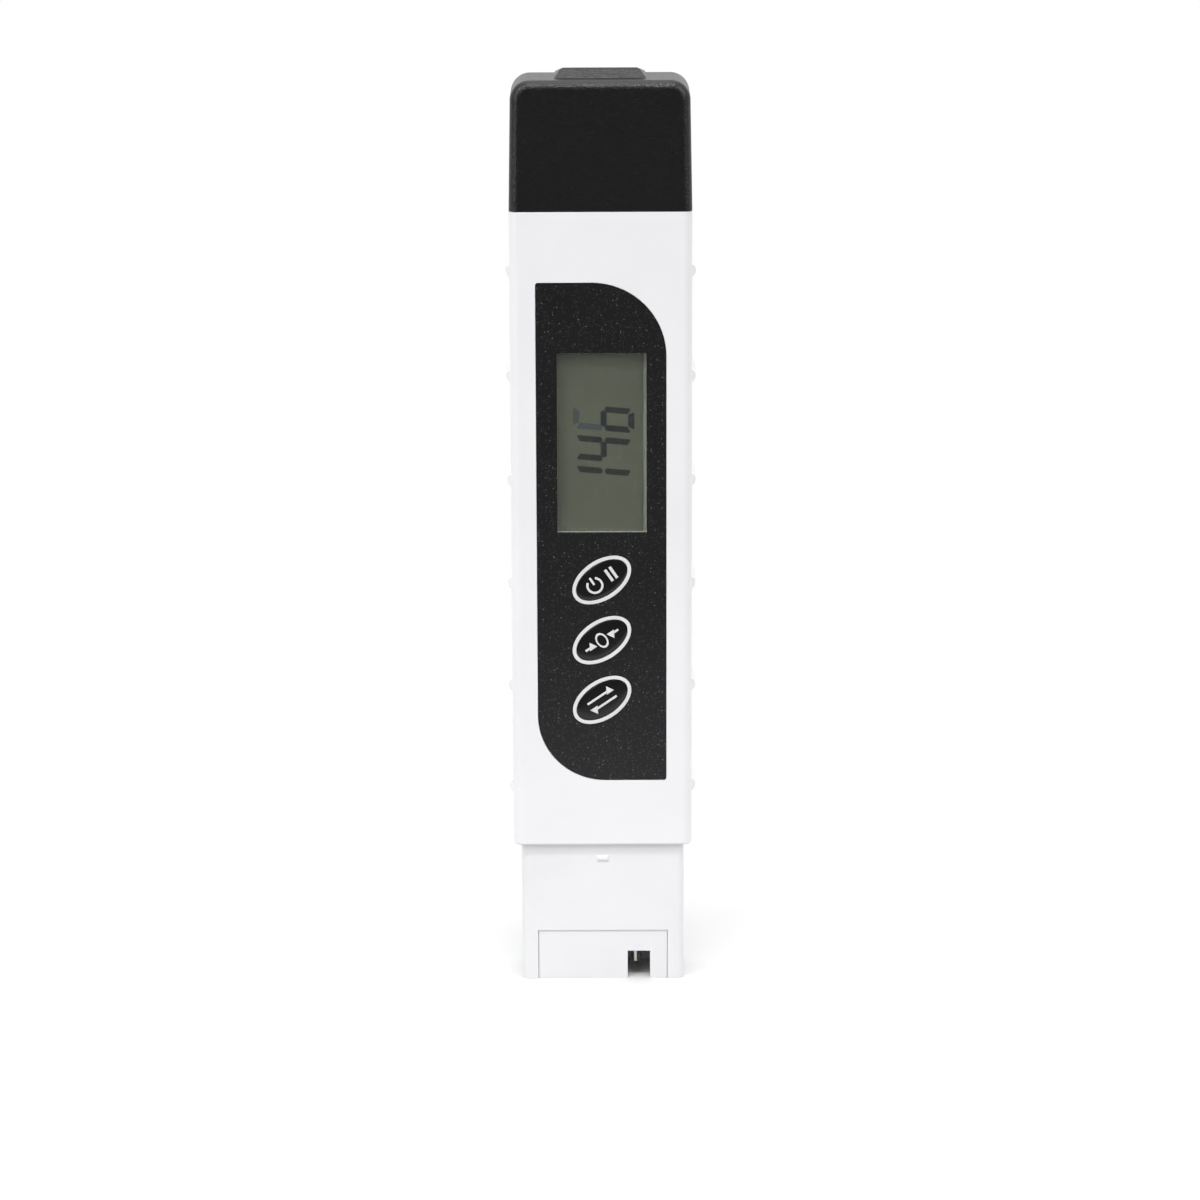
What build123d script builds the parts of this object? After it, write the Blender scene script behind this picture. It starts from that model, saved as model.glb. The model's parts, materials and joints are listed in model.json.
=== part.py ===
from build123d import *
import os

# Handheld water-quality meter: a white sleeve with a black key label and display, a black battery cover
# with a pocket clip on top, and a bare probe neck below that is dipped into the water.
# Millimetres. X runs across the face, -Y is the face, +Y the back, +Z up along the meter.
# The origin is the middle of the probe end, which is dipped in first.

# Sleeve
body_width = 30.0
body_depth = 14.0
body_length = 107.5
sleeve_wall = 1.5
cavity_corner = 0.4
edge_radius = 1.6
mouth_chamfer = 0.25
shoulder_thickness = 1.5

# Grip ribs on both sides of the sleeve
rib_count = 6
rib_end_margin = 10.0
rib_radius = 1.15
rib_stand_out = 0.6
rib_length = 10.4

# Label on the face, with its display window and the ovals of the three keys
label_width = 21.4
label_height = 84.4
label_lift = -0.15
label_top_radius = 12.2
label_bottom_radius = 11.2
label_corner_radius = 0.4
label_thickness = 0.35
label_recess = 0.4
label_clearance = 0.06
window_width = 14.6
window_height = 30.1
window_drop = 11.7
window_offset = 0.1
lens_thickness = 1.0
lens_clearance = 0.05

# Keys: tilted ovals that press on tact switches
key_names = ("power", "clear", "mode")
key_drop = 8.1
key_pitch = 10.3
key_long_radius = 4.72
key_short_radius = 2.62
key_tilt = 34.5
key_clearance = 0.1
key_flange = 0.45
key_flange_corner = 1.5
key_flange_thickness = 0.5
key_stand_out = 0.2
key_edge_chamfer = 0.18
key_travel = 0.3

# Tact switches behind the keys
switch_side = 6.0
switch_height = 3.4
switch_corner = 0.5
stem_radius = 1.7
stem_clearance = 0.1
stem_socket_depth = 1.3
stem_depth_in_switch = 0.8
stem_gap = 0.05

# Display cell
cell_wall_gap = 0.1
film_thickness = 0.2
glass_thickness = 1.1
cell_side_margin = 2.3
cell_end_margin = 1.7
cell_bare_edge = 0.5
contact_ledge = 2.6
zebra_thickness = 1.8
zebra_end_gap = 1.5
cell_clearance = 0.1
frame_wall = 1.0
frame_shelf = 1.6

# Circuit board
board_thickness = 1.0
board_bottom_gap = 4.0
board_top_gap = 3.0

# Circuit on the back of the board
blob_radius = 4.2
blob_height = 1.1
blob_edge_chamfer = 0.7
chip_width = 5.0
chip_length = 4.0
chip_height = 1.6
chip_lift = 0.2
chip_leg_count = 4
chip_leg_pitch = 1.27
chip_leg_width = 0.4
chip_leg_reach = 1.0
crystal_radius = 1.0
crystal_length = 6.0
crystal_offset = 6.5
crystal_gap = 0.05
resistor_count = 4
resistor_length = 2.0
resistor_width = 1.25
resistor_height = 0.5
resistor_pitch = 2.4
resistor_offset = 6.0
capacitor_count = 5
capacitor_length = 1.6
capacitor_width = 1.2
capacitor_height = 0.9
capacitor_pitch = 3.0
capacitor_drop = 3.0

# Inner frame behind the board, which slides into the sleeve
frame_clearance = 0.3
frame_plate = 1.2
rail_width = 2.2
rail_lip = 1.1
board_clearance = 0.1
frame_window_length = 22.0
boss_radius = 2.3
boss_inset = 4.5
screw_radius = 0.8
screw_head_radius = 1.5
screw_head_height = 1.0
screw_clearance = 0.02
screw_end_wall = 1.85
screw_slot_width = 0.45

# Battery neck on top of the sleeve, and its holder
battery_neck_height = 17.5
battery_neck_wall = 1.2
battery_neck_corner = 1.0
battery_neck_chamfer = 0.3
cover_fit = 0.1
cover_wall = 1.3
holder_clearance = 0.15
holder_flange_height = 2.0
holder_top_gap = 0.3
holder_end_wall = 0.4
holder_side_wall = 1.15
cell_can_lip = 0.35
cell_cap_inset = 0.9
cell_spacing = 0.3
cell_pocket_clearance = 0.1
cell_top_gap = 1.3
contact_thickness = 0.25
contact_gap = 0.15
contact_width = 6.0
contact_leg_width = 2.0
contact_leg_slot = 0.2

# Battery cover
cover_height = 21.3
cover_draft = 1.0
cover_corner_radius = 3.2
cover_edge_radius = 1.5
cover_roof = 1.8

# Pocket clip on the cover
clip_width = 12.6
clip_tip_width = 10.6
clip_root_rise = 1.6
clip_root_front = -1.5
clip_root_flare = 1.2
clip_root_edge = 0.35
clip_arm_chamfer = 0.35
clip_fall = 2.5
clip_gap = 5.2
clip_thickness = 2.2
clip_tip_thickness = 1.7
clip_length = 39.0
clip_lean = 0.9
clip_nub_length = 7.0
clip_nub_gap = 0.5
clip_nub_radius = 1.3
clip_tip_radius = 3.5
clip_arm_thickness = 2.6
clip_arm_radius = 2.4
clip_arm_inner_radius = 0.6
clip_hinge_drop = 5.6
clip_hinge_clearance = 0.08
clip_edge_radius = 0.45

# Probe holder: the neck below the sleeve, and its plug inside the sleeve
neck_length = 24.0
neck_inset = 1.3
neck_wall = 1.3
neck_corner_radius = 1.2
plug_height = 6.0
plug_clearance = 0.05
ledge_width = 0.7
detent_drop = 2.7
detent_radius = 0.6
detent_length = 2.2
detent_stand_out = 0.35

# Electrode block in the holder's mouth
block_height = 13.0
block_clearance = 0.06
panel_side_margin = 2.8
panel_height = 8.5
panel_recess = 0.25
chamber_depth = 8.4
chamber_wall = 1.2
notch_width = 3.8
notch_height = 4.8
notch_offset = 6.1
electrode_radius = 1.0
electrode_spacing = 11.0
electrode_recess = 1.5
electrode_tail = 5.0
bore_clearance = 0.02
potting_thickness = 3.0
thermistor_radius = 0.9
thermistor_length = 2.3
thermistor_bore_depth = 3.2
lead_radius = 0.25
lead_spacing = 1.2
wire_radius = 0.6
wire_clearance = 0.1
wire_solder_length = 4.0
wire_straight = 3.0

# Levels along the meter
sleeve_bottom = neck_length
sleeve_top = sleeve_bottom + body_length
cover_top = sleeve_top + cover_height
label_middle = (sleeve_bottom + sleeve_top) / 2 + label_lift
label_top = label_middle + label_height / 2
label_bottom = label_middle - label_height / 2
window_top = label_top - window_drop
window_bottom = window_top - window_height
window_middle = (window_top + window_bottom) / 2
key_heights = [window_bottom - key_drop - k * key_pitch for k in range(len(key_names))]
plug_top = sleeve_bottom + plug_height
shoulder_underside = sleeve_top - shoulder_thickness
battery_neck_top = sleeve_top + battery_neck_height
holder_flange_bottom = shoulder_underside - frame_clearance - holder_flange_height
frame_bottom = plug_top + frame_clearance
frame_top = holder_flange_bottom - frame_clearance
board_bottom = frame_bottom + board_bottom_gap
board_top = frame_top - board_top_gap

# Levels from the face to the back
face = -body_depth / 2
back = body_depth / 2
recess_floor = face + label_recess
label_face = recess_floor - label_thickness
inner_face = face + sleeve_wall
inner_back = back - sleeve_wall
cell_face = inner_face + cell_wall_gap
front_glass_face = cell_face + film_thickness
rear_glass_face = front_glass_face + glass_thickness
reflector_face = rear_glass_face + glass_thickness
reflector_back = reflector_face + film_thickness
key_face = label_face - key_stand_out
key_flange_face = inner_face + key_clearance
key_flange_back = key_flange_face + key_flange_thickness
stem_face = key_flange_back + stem_gap
switch_face = stem_face + stem_depth_in_switch
board_face = switch_face + switch_height
board_back = board_face + board_thickness
clip_outer = back + clip_gap + clip_thickness
frame_plate_back = inner_back - frame_clearance
frame_plate_face = frame_plate_back - frame_plate
screw_end = frame_plate_back - screw_end_wall

# Sections of the sleeve, the necks and what fits in them
cavity_width = body_width - 2 * sleeve_wall
cavity_depth = body_depth - 2 * sleeve_wall
frame_width = cavity_width - 2 * frame_clearance
board_width = frame_width - 2 * (rail_lip + board_clearance)
screw_reach = board_width / 2 - boss_inset
battery_neck_width = body_width - 2 * (cover_wall + cover_fit)
battery_neck_depth = body_depth - 2 * (cover_wall + cover_fit)
battery_bore_width = battery_neck_width - 2 * battery_neck_wall
battery_bore_depth = battery_neck_depth - 2 * battery_neck_wall
holder_width = battery_bore_width - 2 * holder_clearance
holder_depth = battery_bore_depth - 2 * holder_clearance
cell_space = holder_width / 2 - holder_end_wall - cell_pocket_clearance - cell_spacing / 2
cell_radius = cell_space / 2
cell_thickness = holder_depth - 2 * (holder_side_wall + contact_thickness + contact_gap)
neck_width = body_width - 2 * neck_inset
neck_depth = body_depth - 2 * neck_inset
neck_bore_width = neck_width - 2 * neck_wall
neck_bore_depth = neck_depth - 2 * neck_wall
panel_width = neck_width - 2 * panel_side_margin


def between(x, y, z):
    """A box from the two limits along each axis."""
    sizes = [high - low for low, high in (x, y, z)]
    middles = [(high + low) / 2 for low, high in (x, y, z)]
    return Pos(*middles) * Box(*sizes)


def column(width, depth, low, high, radius):
    """An upright bar with round corners, centred on the meter's axis."""
    return extrude(Pos(0, 0, low) * RectangleRounded(width, depth, radius), high - low)


def trunk(width, depth, low, high, cut):
    """An upright bar with its corners cut off flat, for what fits inside another piece."""
    outline = Rectangle(width, depth)
    return extrude(Pos(0, 0, low) * chamfer(outline.vertices(), cut), high - low)


def through_face(outline, near, far):
    """A flat outline, drawn as seen from the face, made solid from one depth to another."""
    return extrude(Plane((0, near, 0), x_dir=(1, 0, 0), z_dir=(0, -1, 0)) * outline, -(far - near))


def side_profile(outline, width):
    """An outline drawn in Y and Z, made solid across X and centred on the meter's axis."""
    return extrude(Plane((-width / 2, 0, 0), x_dir=(0, 1, 0), z_dir=(1, 0, 0)) * outline, width)


def rod(x, y, low, high, radius):
    """An upright round rod."""
    return Pos(x, y, (low + high) / 2) * Cylinder(radius, high - low)


def across_depth(x, z, near, far, radius):
    """A round rod that runs from one depth to another."""
    return Pos(x, (near + far) / 2, z) * Rot(90, 0, 0) * Cylinder(radius, far - near)


def ridge(length, radius, stand_out):
    """A low ridge along Y on a wall that faces +X: round across, with ends that slope down to the wall."""
    sink = radius - stand_out
    bar = Pos(-sink, 0, 0) * Rot(90, 0, 0) * Cylinder(radius, length)
    foot = length / 2
    crest = foot - stand_out
    low_end = ((-stand_out, -foot), (0, -foot), (stand_out, -crest))
    high_end = ((stand_out, crest), (0, foot), (-stand_out, foot))
    return bar & extrude(make_face(Polyline(*low_end, *high_end, close=True)), radius, both=True)


def rounded_corner(outline, x, y, radius):
    """The outline with its corner nearest to a point made round."""
    return fillet(outline.vertices().sort_by_distance((x, y, 0))[0], radius)


def label_outline(grow):
    """The label: two nearly square corners, and two large round ones across from each other."""
    left = -label_width / 2 - grow
    right = label_width / 2 + grow
    low = label_bottom - grow
    high = label_top + grow
    outline = make_face(Polyline((left, low), (right, low), (right, high), (left, high), close=True))
    outline = rounded_corner(outline, right, high, label_top_radius + grow)
    outline = rounded_corner(outline, left, low, label_bottom_radius + grow)
    outline = rounded_corner(outline, left, high, label_corner_radius + grow)
    return rounded_corner(outline, right, low, label_corner_radius + grow)


def window_outline(grow):
    """The display window, larger by grow on every side."""
    return Pos(window_offset, window_middle) * Rectangle(window_width + 2 * grow, window_height + 2 * grow)


def key_outline(height, grow):
    """The tilted oval of one key, larger by grow all round."""
    return Pos(0, height) * Rot(0, 0, key_tilt) * Ellipse(key_long_radius + grow, key_short_radius + grow)


def housing():
    """The white sleeve, with the neck that the battery cover slides over."""
    sleeve = column(body_width, body_depth, sleeve_bottom, sleeve_top, edge_radius)
    sleeve = chamfer(sleeve.edges().group_by(Axis.Z)[0], mouth_chamfer)
    neck = trunk(battery_neck_width, battery_neck_depth, sleeve_top, battery_neck_top, battery_neck_corner)
    sleeve += chamfer(neck.edges().group_by(Axis.Z)[-1], battery_neck_chamfer)
    sleeve -= trunk(cavity_width, cavity_depth, sleeve_bottom, shoulder_underside, cavity_corner)
    bore_low, bore_high = shoulder_underside, battery_neck_top
    sleeve -= trunk(battery_bore_width, battery_bore_depth, bore_low, bore_high, cavity_corner)
    sleeve -= through_face(label_outline(label_clearance), face, recess_floor)
    sleeve -= through_face(window_outline(lens_clearance), face, inner_face)
    for height in key_heights:
        sleeve -= through_face(key_outline(height, key_clearance), face, inner_face)
    return sleeve + grip_ribs()


def grip_ribs():
    """Low round ribs across both sides of the sleeve, evenly spaced along it."""
    pitch = (body_length - 2 * rib_end_margin) / (rib_count - 1)
    rib = Pos(body_width / 2, 0, 0) * ridge(rib_length, rib_radius, rib_stand_out)
    ribs = []
    for k in range(rib_count):
        height = sleeve_bottom + rib_end_margin + k * pitch
        ribs += [Pos(0, 0, height) * rib, Pos(0, 0, height) * Rot(0, 0, 180) * rib]
    return ribs


def overlay_label():
    """The black printed film in the face's recess, open at the window and the keys."""
    film = label_outline(0) - window_outline(lens_clearance)
    for height in key_heights:
        film -= key_outline(height, key_clearance)
    return through_face(film, label_face, recess_floor)


def window_lens():
    """The clear window over the display, level with the label."""
    return through_face(window_outline(0), label_face, label_face + lens_thickness)


def key(height):
    """One key: an oval cap through the face, with a flange plate behind the wall."""
    cap = through_face(key_outline(height, 0), key_face, key_flange_back)
    cap = chamfer(cap.edges().group_by(Axis.Y)[0], key_edge_chamfer)
    plate = Rectangle(2 * (key_long_radius + key_flange), 2 * (key_short_radius + key_flange))
    plate = chamfer(plate.vertices(), key_flange_corner)
    plate = Pos(0, height) * Rot(0, 0, key_tilt) * plate
    return cap + through_face(plate, key_flange_face, key_flange_back)


def switch_base(height):
    """The square body of one tact switch, with the round well its stem sinks into."""
    outline = chamfer(Rectangle(switch_side, switch_side).vertices(), switch_corner)
    base = through_face(Pos(0, height) * outline, switch_face, board_face)
    well = stem_radius + stem_clearance
    return base - across_depth(0, height, switch_face, switch_face + stem_socket_depth, well)


def switch_stem(height):
    """The round stem of one tact switch, pressed by its key."""
    tail = switch_face + stem_socket_depth - key_travel - stem_clearance
    return across_depth(0, height, stem_face, tail, stem_radius)


def cell_sides():
    """Left and right limits of the display's films, and the right end of its contact ledge."""
    left = window_offset - window_width / 2 - cell_side_margin
    right = window_offset + window_width / 2 - cell_bare_edge
    return left, right, right + contact_ledge


def cell_ends():
    """Lower and upper limits of the display's glass."""
    return window_bottom - cell_end_margin, window_top + cell_end_margin


def lcd_front_polarizer():
    """The film on the front of the display, which the window shows."""
    left, right, ledge = cell_sides()
    return between((left, right), (cell_face, front_glass_face), cell_ends())


def lcd_front_glass():
    """The wider front glass, whose right edge carries the contacts."""
    left, right, ledge = cell_sides()
    return between((left, ledge), (front_glass_face, rear_glass_face), cell_ends())


def lcd_rear_glass():
    """The rear glass of the display."""
    left, right, ledge = cell_sides()
    return between((left, right), (rear_glass_face, reflector_face), cell_ends())


def lcd_reflector():
    """The rear film with its reflecting back."""
    left, right, ledge = cell_sides()
    return between((left, right), (reflector_face, reflector_back), cell_ends())


def zebra_limits():
    """Left and right limits of the rubber contact strip, in the middle of the ledge."""
    left, right, ledge = cell_sides()
    middle = (right + ledge) / 2
    return middle - zebra_thickness / 2, middle + zebra_thickness / 2


def zebra_strip():
    """The rubber strip that joins the glass's contacts to the board."""
    low, high = cell_ends()
    return between(zebra_limits(), (rear_glass_face, board_face), (low + zebra_end_gap, high - zebra_end_gap))


def lcd_frame():
    """The white frame that holds the display on the board."""
    left, right, ledge = cell_sides()
    low, high = cell_ends()
    outside_x = (left - cell_clearance - frame_wall, ledge + cell_clearance + frame_wall)
    outside_z = (low - cell_clearance - frame_wall, high + cell_clearance + frame_wall)
    pocket_z = (low - cell_clearance, high + cell_clearance)
    frame = between(outside_x, (front_glass_face, board_face), outside_z)
    front_x = (left - cell_clearance, ledge + cell_clearance)
    rear_x = (left - cell_clearance, right + cell_clearance)
    frame -= between(front_x, (front_glass_face, rear_glass_face), pocket_z)
    frame -= between(rear_x, (rear_glass_face, reflector_back), pocket_z)
    inside_x = (left + frame_shelf, right - frame_shelf)
    inside_z = (low + frame_shelf, high - frame_shelf)
    frame -= between(inside_x, (reflector_back, board_face), inside_z)
    strip_left, strip_right = zebra_limits()
    slot_x = (strip_left - cell_clearance, strip_right + cell_clearance)
    slot_z = (low + zebra_end_gap - cell_clearance, high - zebra_end_gap + cell_clearance)
    return frame - between(slot_x, (rear_glass_face, board_face), slot_z)


def screw_places():
    """X and Z of the two screws: above the display, and in the lower corner across from it."""
    display_low, display_high = cell_ends()
    above_display = (display_high + cell_clearance + frame_wall + board_top) / 2
    return (-screw_reach, above_display), (screw_reach, board_bottom + boss_inset)


def circuit_board():
    """The board that carries the display, the switches and the circuit."""
    half = board_width / 2
    board = between((-half, half), (board_face, board_back), (board_bottom, board_top))
    for x, z in screw_places():
        board -= across_depth(x, z, board_face, board_back, screw_radius + 2 * board_clearance)
    return board


def board_screws():
    """Two slotted screws that hold the board to the inner frame."""
    screws = []
    for x, z in screw_places():
        head_face = board_face - screw_head_height
        head = across_depth(x, z, head_face, board_face, screw_head_radius)
        slot_x = (x - screw_slot_width / 2, x + screw_slot_width / 2)
        slot_z = (z - screw_head_radius, z + screw_head_radius)
        head -= between(slot_x, (head_face, head_face + screw_head_height / 2), slot_z)
        shank = across_depth(x, z, board_face, screw_end, screw_radius)
        screws.append(head + shank)
    return screws


def inner_frame():
    """The carrier behind the board: a back plate with two rails and two screw bosses."""
    half = frame_width / 2
    board_side = board_width / 2 + board_clearance
    frame = between((-half, half), (frame_plate_face, frame_plate_back), (frame_bottom, frame_top))
    for side in (-1, 1):
        shelf_x = sorted((side * (half - rail_width), side * half))
        frame += between(shelf_x, (board_back, frame_plate_face), (frame_bottom, frame_top))
        lip_x = sorted((side * board_side, side * half))
        frame += between(lip_x, (board_face, board_back), (frame_bottom, frame_top))
    for x, z in screw_places():
        frame += across_depth(x, z, board_back, frame_plate_face, boss_radius)
        frame -= across_depth(x, z, board_back, screw_end + screw_clearance, screw_radius + screw_clearance)
    middle = (frame_bottom + frame_top) / 2
    for side in (-1, 1):
        centre = middle + side * (frame_window_length / 2 + boss_radius)
        hole = chamfer(Rectangle(cavity_width / 2, frame_window_length).vertices(), boss_radius)
        frame -= through_face(Pos(0, centre) * hole, frame_plate_face, frame_plate_back)
    return frame


def processor_blob():
    """The round drop of black resin over the processor, on the back of the board."""
    dome = across_depth(0, window_middle, board_back, board_back + blob_height, blob_radius)
    return chamfer(dome.edges().group_by(Axis.Y)[-1], blob_edge_chamfer)


def amplifier_chip():
    """A small chip with a row of legs on each side, behind the keys."""
    height = (key_heights[0] + key_heights[1]) / 2
    half = chip_length / 2
    body_y = (board_back + chip_lift, board_back + chip_height)
    chip = between((-chip_width / 2, chip_width / 2), body_y, (height - half, height + half))
    leg_y = (board_back, board_back + 2 * chip_lift)
    for k in range(chip_leg_count):
        x = (k - (chip_leg_count - 1) / 2) * chip_leg_pitch
        leg_x = (x - chip_leg_width / 2, x + chip_leg_width / 2)
        for side in (-1, 1):
            leg_z = sorted((height + side * half, height + side * (half + chip_leg_reach)))
            chip += between(leg_x, leg_y, leg_z)
    return chip


def crystal():
    """The round can of the clock crystal, lying on the back of the board."""
    level = board_back + crystal_radius + crystal_gap
    half = crystal_length / 2
    return rod(crystal_offset, level, window_bottom - half, window_bottom + half, crystal_radius)


def chip_parts(places, length, width, height):
    """Small blocks on the back of the board, centred on the given places."""
    parts = []
    for x, z in places:
        sides_x = (x - length / 2, x + length / 2)
        sides_z = (z - width / 2, z + width / 2)
        parts.append(between(sides_x, (board_back, board_back + height), sides_z))
    return parts


def chip_resistors():
    """Chip resistors in two columns, one on each side of the keys."""
    steps = [(side, k) for side in (-1, 1) for k in range(resistor_count)]
    places = [(side * resistor_offset, key_heights[1] + k * resistor_pitch) for side, k in steps]
    return chip_parts(places, resistor_length, resistor_width, resistor_height)


def chip_capacitors():
    """Chip capacitors in a row behind the top of the display."""
    middle = (capacitor_count - 1) / 2
    row = [((k - middle) * capacitor_pitch, window_top - capacitor_drop) for k in range(capacitor_count)]
    return chip_parts(row, capacitor_length, capacitor_width, capacitor_height)


def cell_height():
    """Height of the middle of the two button cells in their holder."""
    return battery_neck_top - holder_top_gap - cell_top_gap - cell_radius


def cell_places():
    """X of the middle of each button cell."""
    reach = cell_radius + cell_spacing / 2
    return -reach, reach


def pocket_half_depth():
    """From the middle of the cells to the wall of their pocket, past the contacts."""
    return cell_thickness / 2 + contact_gap + contact_thickness


def battery_holder():
    """The holder in the battery neck, open on top, with a flange below the sleeve's shoulder."""
    top = battery_neck_top - holder_top_gap
    holder = trunk(holder_width, holder_depth, holder_flange_bottom, top, cavity_corner)
    flange_width = cavity_width - 2 * frame_clearance
    flange_depth = cavity_depth - 2 * frame_clearance
    flange_top = holder_flange_bottom + holder_flange_height
    holder += trunk(flange_width, flange_depth, holder_flange_bottom, flange_top, cavity_corner)
    half = pocket_half_depth()
    middle = cell_height()
    radius = cell_radius + cell_pocket_clearance
    left, right = cell_places()
    for x in (left, right):
        holder -= across_depth(x, middle, -half, half, radius)
        holder -= between((x - radius, x + radius), (-half, half), (middle, top))
    holder -= between((left, right), (-half, half), (middle - cell_radius / 2, top))
    leg = contact_leg_width / 2 + contact_leg_slot
    for x in (left, right):
        slot_y = (half - contact_thickness - contact_leg_slot, half)
        holder -= between((x - leg, x + leg), slot_y, (holder_flange_bottom, middle))
    return holder


def button_cell(x, plus_side):
    """One button cell: a can with a smaller cap on its minus side."""
    middle = cell_height()
    half = cell_thickness / 2
    near, far = sorted((-plus_side * half, plus_side * (half - cell_can_lip)))
    can_near, can_far = sorted((plus_side * half, -plus_side * (half - cell_can_lip)))
    cap = across_depth(x, middle, near, far, cell_radius - cell_cap_inset)
    return across_depth(x, middle, can_near, can_far, cell_radius) + cap


def bridge_contact():
    """The strip that joins both cells, on the face side."""
    left, right = cell_places()
    far = -(cell_thickness / 2 + contact_gap)
    middle = cell_height()
    reach_z = (middle - cell_radius / 2, middle + cell_radius / 2)
    reach_x = (left - contact_width / 2, right + contact_width / 2)
    return between(reach_x, (far - contact_thickness, far), reach_z)


def leg_contact(x):
    """A contact plate behind one cell, with a leg down to the back of the board."""
    near = cell_thickness / 2 + contact_gap
    far = near + contact_thickness
    middle = cell_height()
    solder_height = board_top - contact_leg_width
    plate_z = (middle - cell_radius / 2, middle + cell_radius / 2)
    plate = between((x - contact_width / 2, x + contact_width / 2), (near, far), plate_z)
    leg_x = (x - contact_leg_width / 2, x + contact_leg_width / 2)
    leg = between(leg_x, (near, far), (solder_height, middle))
    foot = between(leg_x, (board_back, far), (solder_height - contact_thickness, solder_height))
    return plate + leg + foot


def cover_shell():
    """The outside of the battery cover: slightly tapered, with rounder corners on top."""
    outline = Pos(0, 0, sleeve_top) * Rectangle(body_width, body_depth)
    block = extrude(outline, cover_height, taper=cover_draft)
    top_sides = block.edges().filter_by(Axis.Y).group_by(Axis.Z)[-1]
    block = fillet(top_sides, cover_corner_radius)
    bottom_plane = block.edges().group_by(Axis.Z)[0]
    sides = block.edges().filter_by(Axis.Y)
    soft = [edge for edge in block.edges() if edge not in bottom_plane and edge not in sides]
    return fillet(soft, cover_edge_radius)


def clip_hinge():
    """Y and Z of the round root that the clip bends about."""
    return clip_outer - clip_thickness / 2, cover_top + clip_root_rise - clip_hinge_drop


def clip_top(y):
    """Height of the clip's top, which falls from the root's front edge to the clip's outside."""
    share = (y - clip_root_front) / (clip_outer - clip_root_front)
    return cover_top + clip_root_rise - clip_fall * share


def clip_root():
    """The raised root on the cover's roof, whose sides and front slant out to meet the roof."""
    top = clip_top(clip_root_front)
    low = cover_top - cover_roof / 2
    half = clip_width / 2
    foot = half + clip_root_flare
    near = clip_root_front - clip_root_flare
    far = back - cover_edge_radius
    right_side = ((half, top), (foot, cover_top), (foot, low))
    left_side = ((-foot, low), (-foot, cover_top), (-half, top))
    across = make_face(Polyline(*right_side, *left_side, close=True))
    front_side = ((near, low), (near, cover_top), (clip_root_front, top))
    along = make_face(Polyline(*front_side, (far, clip_top(far)), (far, low), close=True))
    root = through_face(across, near, far) & side_profile(along, 2 * foot)
    rim = root.faces().sort_by(Axis.Z)[-1].edges().sort_by(Axis.Y)
    return chamfer(rim[:-1], clip_root_edge)


def clip_arm():
    """The arm that runs back from the raised root and turns down to carry the clip."""
    inside = back - cover_edge_radius - clip_root_edge
    inner = clip_outer - clip_thickness
    hinge_y, hinge_z = clip_hinge()
    arm_points = (
        (inside, clip_top(inside)),
        (clip_outer, clip_top(clip_outer)),
        (clip_outer, hinge_z),
        (inner, hinge_z),
        (inner, clip_top(inner) - clip_arm_thickness),
        (inside, clip_top(inside) - clip_arm_thickness),
    )
    outline = make_face(Polyline(*arm_points, close=True))
    outline = rounded_corner(outline, clip_outer, clip_top(clip_outer), clip_arm_radius)
    outline = rounded_corner(outline, inner, clip_top(inner) - clip_arm_thickness, clip_arm_inner_radius)
    arm = side_profile(outline, clip_width)
    side_edges = [edge for edge in arm.edges() if abs(edge.center().X) > clip_width / 2 - clip_root_edge / 2]
    outer_edges = [edge for edge in side_edges if edge.center().Y > back]
    upper_edges = [edge for edge in outer_edges if edge.center().Z > hinge_z + clip_root_edge / 2]
    arm = chamfer(upper_edges, clip_arm_chamfer)
    socket = Pos(0, hinge_y, hinge_z) * Rot(0, 90, 0)
    return arm - socket * Cylinder(clip_thickness / 2 + clip_hinge_clearance, clip_width)


def battery_cover():
    """The black cover that pulls off upwards to change the cells."""
    cover = cover_shell() + clip_root() + clip_arm()
    inside_width = battery_neck_width + 2 * cover_fit
    inside_depth = battery_neck_depth + 2 * cover_fit
    return cover - trunk(inside_width, inside_depth, sleeve_top, cover_top - cover_roof, battery_neck_corner)


def pocket_clip():
    """The springy blade of the clip, with the nub that grips a pocket's edge."""
    hinge_y, hinge_z = clip_hinge()
    half = clip_thickness / 2
    bottom = hinge_z - clip_length
    inner_top = hinge_y - half
    inner_low = inner_top - clip_lean
    outer_low = inner_low + clip_tip_thickness
    nub = back + clip_nub_gap
    nub_top = bottom + clip_nub_length
    nub_middle = bottom + clip_nub_length / 2
    blade_points = (
        (inner_top, hinge_z),
        (inner_low, nub_top),
        (nub, nub_middle),
        (inner_low, bottom),
        (outer_low, bottom),
        (outer_low, nub_top),
        (hinge_y + half, hinge_z),
    )
    outline = make_face(Polyline(*blade_points, close=True))
    outline = rounded_corner(outline, nub, nub_middle, clip_nub_radius)
    outline = rounded_corner(outline, inner_low, nub_top, clip_thickness)
    outline = rounded_corner(outline, outer_low, bottom, clip_tip_thickness / 2)
    blade = side_profile(outline, clip_width)
    knuckle = Pos(0, hinge_y, hinge_z) * Rot(0, 90, 0) * Cylinder(half, clip_width)
    width = clip_width / 2
    tip = clip_tip_width / 2
    top = hinge_z + half
    tip_points = ((-tip, bottom), (tip, bottom))
    side_points = ((width, nub_top), (width, top), (-width, top), (-width, nub_top))
    plan = make_face(Polyline(*tip_points, *side_points, close=True))
    plan = rounded_corner(plan, -tip, bottom, clip_tip_radius)
    plan = rounded_corner(plan, tip, bottom, clip_tip_radius)
    blade = blade & through_face(plan, back, clip_outer)
    long_edges = [edge for edge in blade.edges() if edge.length > clip_nub_length]
    outer_edges = [edge for edge in long_edges if edge.center().Y > hinge_y]
    outer_edges = [edge for edge in outer_edges if edge.center().Z < hinge_z - half]
    return fillet(outer_edges, clip_edge_radius) + knuckle


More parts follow.
